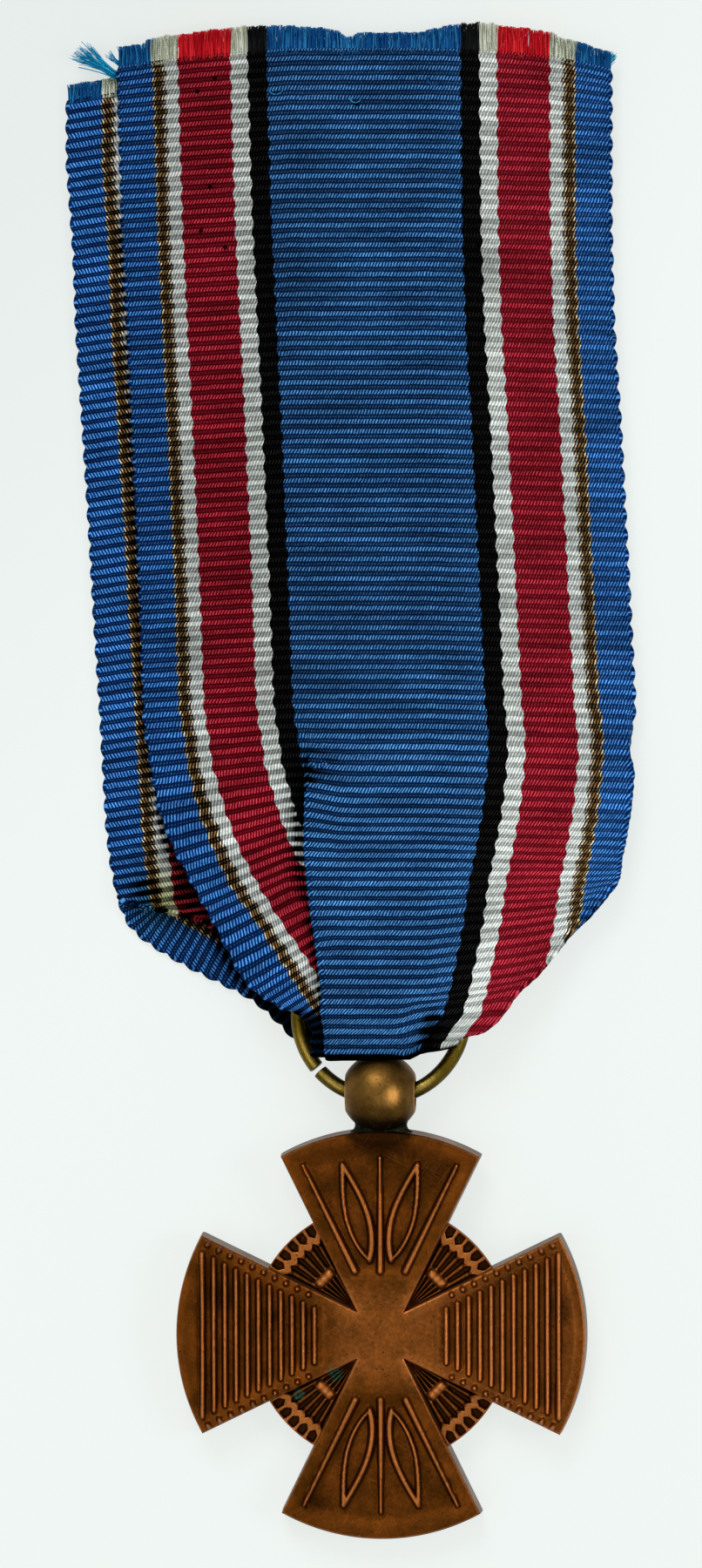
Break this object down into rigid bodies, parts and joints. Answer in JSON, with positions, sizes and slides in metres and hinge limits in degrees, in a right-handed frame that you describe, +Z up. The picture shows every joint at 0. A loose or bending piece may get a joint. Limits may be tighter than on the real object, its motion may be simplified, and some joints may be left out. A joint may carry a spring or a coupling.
{
  "type": "commemorative cross on a folded ribbon",
  "caption": "Bronze cross with flared arms and a bored ball, hung by a split wire ring from a folded striped ribbon, lying on its back.",
  "frame": {"origin": "on the surface that it lies on, under the middle of the whole", "axes": "+Y runs up the ribbon, away from the cross; +Z is up from the surface, out of the cross's face; +X is to the right as its face is seen"},
  "size_m": [0.0431, 0.1142, 0.006],
  "materials": {
    "bronze": "struck bronze with a brown patina, dark in the recesses and worn bright on the ridges",
    "brass_wire": "drawn wire, olive brown tarnish",
    "ribbon_silk": "ribbed silk, blue with red, white, black and brown stripes"
  },
  "bodies": {
    "root": {"cross": "bronze", "suspension_ring": "brass_wire", "ribbon": "ribbon_silk"}
  },
  "joints": []
}
